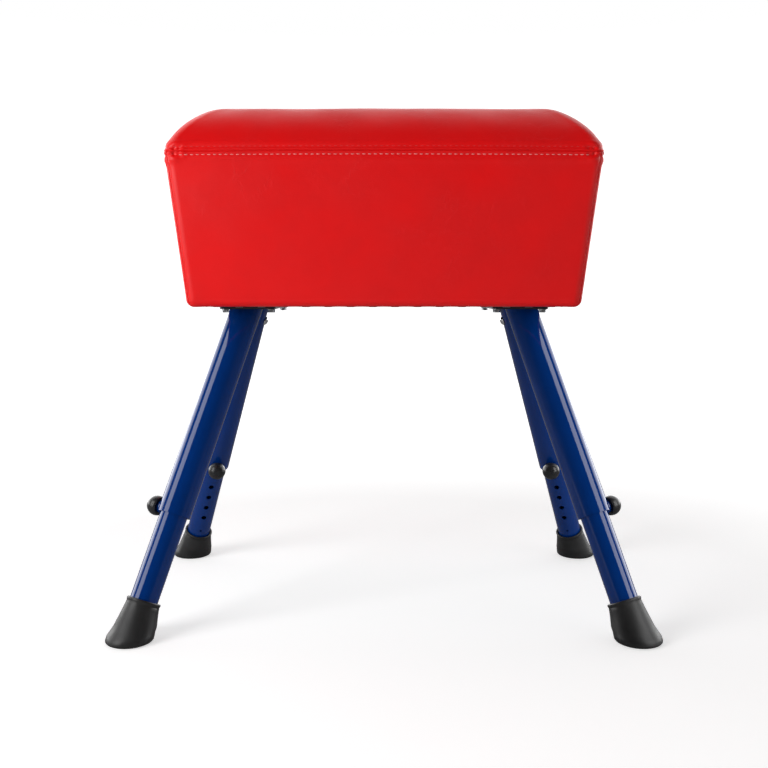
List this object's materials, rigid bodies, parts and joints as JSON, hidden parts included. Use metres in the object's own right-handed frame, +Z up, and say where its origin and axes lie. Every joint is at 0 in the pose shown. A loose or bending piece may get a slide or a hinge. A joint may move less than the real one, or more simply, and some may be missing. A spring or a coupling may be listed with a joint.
{
  "type": "vaulting buck",
  "caption": "Padded gym vaulting buck: red synthetic leather box body on splayed blue telescopic legs with spring-loaded pull knobs and rubber feet.",
  "frame": {"origin": "on the floor under the middle of the body", "axes": "+X along the body, +Y across it towards the rear, +Z up"},
  "size_m": [0.7754, 0.4926, 0.755],
  "materials": {
    "red_leather": "satin",
    "blue_enamel": "gloss",
    "foot_rubber": "matte",
    "knob_plastic": "gloss",
    "black_steel": "satin",
    "zinc_steel": "satin",
    "chrome_screws": "polished",
    "bracket_paint": "satin",
    "plywood": "matte",
    "foam": "matte",
    "bottom_cloth": "matte",
    "nylon": "satin"
  },
  "bodies": {
    "buck_body": {"base_board": "plywood", "top_board": "plywood", "front_board": "plywood", "rear_board": "plywood", "left_end_board": "plywood", "right_end_board": "plywood", "cross_rib": "plywood", "crown_foam": "foam", "side_foam": "foam", "crown_cover": "red_leather", "front_cover": "red_leather", "rear_cover": "red_leather", "left_cover": "red_leather", "right_cover": "red_leather", "bottom_cloth": "bottom_cloth", "left_bracket": "bracket_paint", "right_bracket": "bracket_paint", "bracket_bolts": "zinc_steel", "bracket_washers": "zinc_steel", "tee_nuts": "zinc_steel", "leg_screws": "chrome_screws", "front_left_outer_tube": "blue_enamel", "front_left_guide_bush": "nylon", "front_left_plunger_sleeve": "black_steel", "front_right_outer_tube": "blue_enamel", "front_right_guide_bush": "nylon", "front_right_plunger_sleeve": "black_steel", "rear_left_outer_tube": "blue_enamel", "rear_left_guide_bush": "nylon", "rear_left_plunger_sleeve": "black_steel", "rear_right_outer_tube": "blue_enamel", "rear_right_guide_bush": "nylon", "rear_right_plunger_sleeve": "black_steel"},
    "front_left_leg": {"front_left_inner_tube": "blue_enamel", "front_left_guide_plug": "nylon", "front_left_foot": "foot_rubber"},
    "front_left_plunger": {"front_left_plunger_pin": "zinc_steel", "front_left_plunger_knob": "knob_plastic", "front_left_plunger_spring": "zinc_steel"},
    "front_right_leg": {"front_right_inner_tube": "blue_enamel", "front_right_guide_plug": "nylon", "front_right_foot": "foot_rubber"},
    "front_right_plunger": {"front_right_plunger_pin": "zinc_steel", "front_right_plunger_knob": "knob_plastic", "front_right_plunger_spring": "zinc_steel"},
    "rear_left_leg": {"rear_left_inner_tube": "blue_enamel", "rear_left_guide_plug": "nylon", "rear_left_foot": "foot_rubber"},
    "rear_left_plunger": {"rear_left_plunger_pin": "zinc_steel", "rear_left_plunger_knob": "knob_plastic", "rear_left_plunger_spring": "zinc_steel"},
    "rear_right_leg": {"rear_right_inner_tube": "blue_enamel", "rear_right_guide_plug": "nylon", "rear_right_foot": "foot_rubber"},
    "rear_right_plunger": {"rear_right_plunger_pin": "zinc_steel", "rear_right_plunger_knob": "knob_plastic", "rear_right_plunger_spring": "zinc_steel"}
  },
  "joints": [
    {"name": "front_left_leg_slide", "type": "slide", "parent": "buck_body", "child": "front_left_leg", "axis": [-0.2803, -0.3448, -0.8958], "range_m": [-0.09, 0.045]},
    {"name": "front_left_plunger_pull", "type": "slide", "parent": "buck_body", "child": "front_left_plunger", "axis": [-0.8958, 0.4293, 0.115], "range_m": [0, 0.006], "stiffness_N_per_m": 900, "springref_m": -0.006, "deforming": ["front_left_plunger_spring"]},
    {"name": "front_right_leg_slide", "type": "slide", "parent": "buck_body", "child": "front_right_leg", "axis": [0.2803, -0.3448, -0.8958], "range_m": [-0.09, 0.045]},
    {"name": "front_right_plunger_pull", "type": "slide", "parent": "buck_body", "child": "front_right_plunger", "axis": [0.8958, 0.4293, 0.115], "range_m": [0, 0.006], "stiffness_N_per_m": 900, "springref_m": -0.006, "deforming": ["front_right_plunger_spring"]},
    {"name": "rear_left_leg_slide", "type": "slide", "parent": "buck_body", "child": "rear_left_leg", "axis": [-0.2803, 0.3448, -0.8958], "range_m": [-0.09, 0.045]},
    {"name": "rear_left_plunger_pull", "type": "slide", "parent": "buck_body", "child": "rear_left_plunger", "axis": [0.2088, -0.889, -0.4075], "range_m": [0, 0.006], "stiffness_N_per_m": 900, "springref_m": -0.006, "deforming": ["rear_left_plunger_spring"]},
    {"name": "rear_right_leg_slide", "type": "slide", "parent": "buck_body", "child": "rear_right_leg", "axis": [0.2803, 0.3448, -0.8958], "range_m": [-0.09, 0.045]},
    {"name": "rear_right_plunger_pull", "type": "slide", "parent": "buck_body", "child": "rear_right_plunger", "axis": [-0.2088, -0.889, -0.4075], "range_m": [0, 0.006], "stiffness_N_per_m": 900, "springref_m": -0.006, "deforming": ["rear_right_plunger_spring"]}
  ]
}
